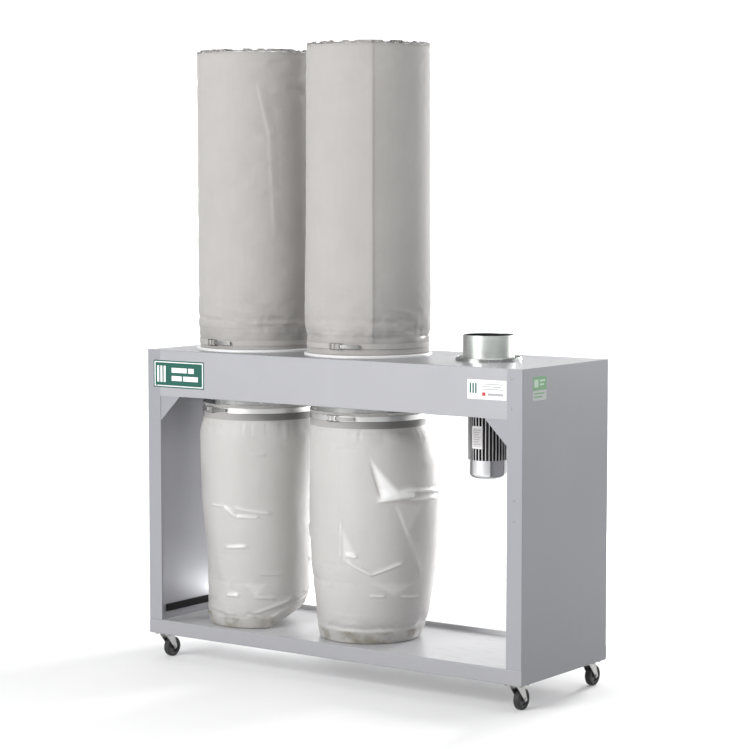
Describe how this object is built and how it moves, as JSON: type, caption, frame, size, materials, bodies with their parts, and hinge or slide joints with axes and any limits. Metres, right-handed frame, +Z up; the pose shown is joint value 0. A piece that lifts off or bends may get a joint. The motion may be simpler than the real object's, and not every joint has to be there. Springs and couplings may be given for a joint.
{
  "type": "dust collector",
  "caption": "Mobile workshop dust collector: open sheet-steel frame on swivel casters, motor and fan under a top inlet, cloth filter bags above hanging film dust bags.",
  "frame": {"origin": "on the floor, under the middle of the frame", "axes": "+Z up, +X towards the fan and motor end, -Y towards the front, which holds the label plates"},
  "size_m": [1.8006, 0.6442, 2.4943],
  "materials": {
    "painted_frame": "smooth light grey coat",
    "galvanised": "bright galvanised sheet",
    "white_collar": "smooth white coat",
    "bright_steel": "polished",
    "fastener_steel": "zinc plated",
    "motor_aluminium": "die cast",
    "motor_iron": "laminated",
    "fan_steel": "satin",
    "fan_plastic": "moulded",
    "box_plastic": "moulded",
    "filter_cloth": "needle felt",
    "bag_film": "clear milky film",
    "caster_steel": "zinc plated",
    "caster_tyre": "solid rubber",
    "caster_hub": "moulded",
    "bumper_rubber": "matt",
    "label": "printed plate"
  },
  "bodies": {
    "frame": {"base_tray": "painted_frame", "base_rails": "painted_frame", "top_plate": "painted_frame", "plenum_floor": "painted_frame", "front_fascia": "painted_frame", "rear_fascia": "painted_frame", "corner_gussets": "painted_frame", "left_side_panel": "painted_frame", "right_side_panel": "painted_frame", "bumper_strips": "bumper_rubber", "label_plates": "label", "inlet_spigot": "galvanised", "inlet_ring": "galvanised", "fan_scroll": "galvanised", "motor_flange": "motor_aluminium", "motor_body": "motor_aluminium", "stator_core": "motor_iron", "motor_bearings": "fastener_steel", "fan_cover": "bright_steel", "terminal_box": "box_plastic", "cable_gland": "box_plastic", "caster_plates": "caster_steel", "fasteners": "fastener_steel", "left_filter_collar": "white_collar", "left_filter_bag": "filter_cloth", "left_dust_collar": "galvanised", "left_dust_bag": "bag_film", "right_filter_collar": "white_collar", "right_filter_bag": "filter_cloth", "right_dust_collar": "galvanised", "right_dust_bag": "bag_film", "left_filter_band": "bright_steel", "right_filter_band": "bright_steel", "left_dust_band": "bright_steel", "right_dust_band": "bright_steel"},
    "rotor": {"impeller": "fan_steel", "impeller_hub": "fastener_steel", "motor_shaft": "fastener_steel", "rotor_core": "motor_iron", "cooling_fan": "fan_plastic"},
    "front_left_swivel": {"front_left_fork": "caster_steel"},
    "front_left_wheel": {"front_left_tyre": "caster_tyre", "front_left_wheel_hub": "caster_hub"},
    "front_right_swivel": {"front_right_fork": "caster_steel"},
    "front_right_wheel": {"front_right_tyre": "caster_tyre", "front_right_wheel_hub": "caster_hub"},
    "rear_left_swivel": {"rear_left_fork": "caster_steel"},
    "rear_left_wheel": {"rear_left_tyre": "caster_tyre", "rear_left_wheel_hub": "caster_hub"},
    "rear_right_swivel": {"rear_right_fork": "caster_steel"},
    "rear_right_wheel": {"rear_right_tyre": "caster_tyre", "rear_right_wheel_hub": "caster_hub"},
    "left_filter_lever": {"left_filter_latch_lever": "bright_steel"},
    "left_filter_bail": {"left_filter_latch_bail": "bright_steel"},
    "right_filter_lever": {"right_filter_latch_lever": "bright_steel"},
    "right_filter_bail": {"right_filter_latch_bail": "bright_steel"},
    "left_dust_lever": {"left_dust_latch_lever": "bright_steel"},
    "left_dust_bail": {"left_dust_latch_bail": "bright_steel"},
    "right_dust_lever": {"right_dust_latch_lever": "bright_steel"},
    "right_dust_bail": {"right_dust_latch_bail": "bright_steel"}
  },
  "joints": [
    {"name": "rotor_spin", "type": "hinge", "parent": "frame", "child": "rotor", "pos_m": [0.553, 0, 1.1], "axis": [0, 0, 1], "continuous": true},
    {"name": "front_left_swivel_turn", "type": "hinge", "parent": "frame", "child": "front_left_swivel", "pos_m": [-0.85, -0.26, 0.1], "axis": [0, 0, 1], "continuous": true},
    {"name": "front_left_wheel_roll", "type": "hinge", "parent": "front_left_swivel", "child": "front_left_wheel", "pos_m": [-0.85, -0.228, 0.04], "axis": [1, 0, 0], "continuous": true},
    {"name": "front_right_swivel_turn", "type": "hinge", "parent": "frame", "child": "front_right_swivel", "pos_m": [0.85, -0.26, 0.1], "axis": [0, 0, 1], "continuous": true},
    {"name": "front_right_wheel_roll", "type": "hinge", "parent": "front_right_swivel", "child": "front_right_wheel", "pos_m": [0.85, -0.228, 0.04], "axis": [1, 0, 0], "continuous": true},
    {"name": "rear_left_swivel_turn", "type": "hinge", "parent": "frame", "child": "rear_left_swivel", "pos_m": [-0.85, 0.26, 0.1], "axis": [0, 0, 1], "continuous": true},
    {"name": "rear_left_wheel_roll", "type": "hinge", "parent": "rear_left_swivel", "child": "rear_left_wheel", "pos_m": [-0.85, 0.292, 0.04], "axis": [1, 0, 0], "continuous": true},
    {"name": "rear_right_swivel_turn", "type": "hinge", "parent": "frame", "child": "rear_right_swivel", "pos_m": [0.85, 0.26, 0.1], "axis": [0, 0, 1], "continuous": true},
    {"name": "rear_right_wheel_roll", "type": "hinge", "parent": "rear_right_swivel", "child": "rear_right_wheel", "pos_m": [0.85, 0.292, 0.04], "axis": [1, 0, 0], "continuous": true},
    {"name": "left_filter_lever_turn", "type": "hinge", "parent": "frame", "child": "left_filter_lever", "pos_m": [-0.59981, -0.24767, 1.308], "axis": [0, 0, -1], "range_deg": [0, 160]},
    {"name": "left_filter_bail_turn", "type": "hinge", "parent": "left_filter_lever", "child": "left_filter_bail", "pos_m": [-0.59055, -0.24644, 1.308], "axis": [0, 0, -1], "range_deg": [-160, 0]},
    {"name": "right_filter_lever_turn", "type": "hinge", "parent": "frame", "child": "right_filter_lever", "pos_m": [0.02412, -0.24702, 1.317], "axis": [0, 0, -1], "range_deg": [0, 160]},
    {"name": "right_filter_bail_turn", "type": "hinge", "parent": "right_filter_lever", "child": "right_filter_bail", "pos_m": [0.03262, -0.24314, 1.317], "axis": [0, 0, -1], "range_deg": [-160, 0]},
    {"name": "left_dust_lever_turn", "type": "hinge", "parent": "frame", "child": "left_dust_lever", "pos_m": [-0.62706, -0.23163, 1.035], "axis": [0, 0, -1], "range_deg": [0, 160]},
    {"name": "left_dust_bail_turn", "type": "hinge", "parent": "left_dust_lever", "child": "left_dust_bail", "pos_m": [-0.61772, -0.23154, 1.035], "axis": [0, 0, -1], "range_deg": [-160, 0]},
    {"name": "right_dust_lever_turn", "type": "hinge", "parent": "frame", "child": "right_dust_lever", "pos_m": [0.00173, -0.23922, 1.035], "axis": [0, 0, -1], "range_deg": [0, 160]},
    {"name": "right_dust_bail_turn", "type": "hinge", "parent": "right_dust_lever", "child": "right_dust_bail", "pos_m": [0.01053, -0.23609, 1.035], "axis": [0, 0, -1], "range_deg": [-160, 0]}
  ],
  "couplings": [
    {"joint": "left_filter_bail_turn", "follows": "left_filter_lever_turn", "ratio": -1},
    {"joint": "right_filter_bail_turn", "follows": "right_filter_lever_turn", "ratio": -1},
    {"joint": "left_dust_bail_turn", "follows": "left_dust_lever_turn", "ratio": -1},
    {"joint": "right_dust_bail_turn", "follows": "right_dust_lever_turn", "ratio": -1}
  ]
}
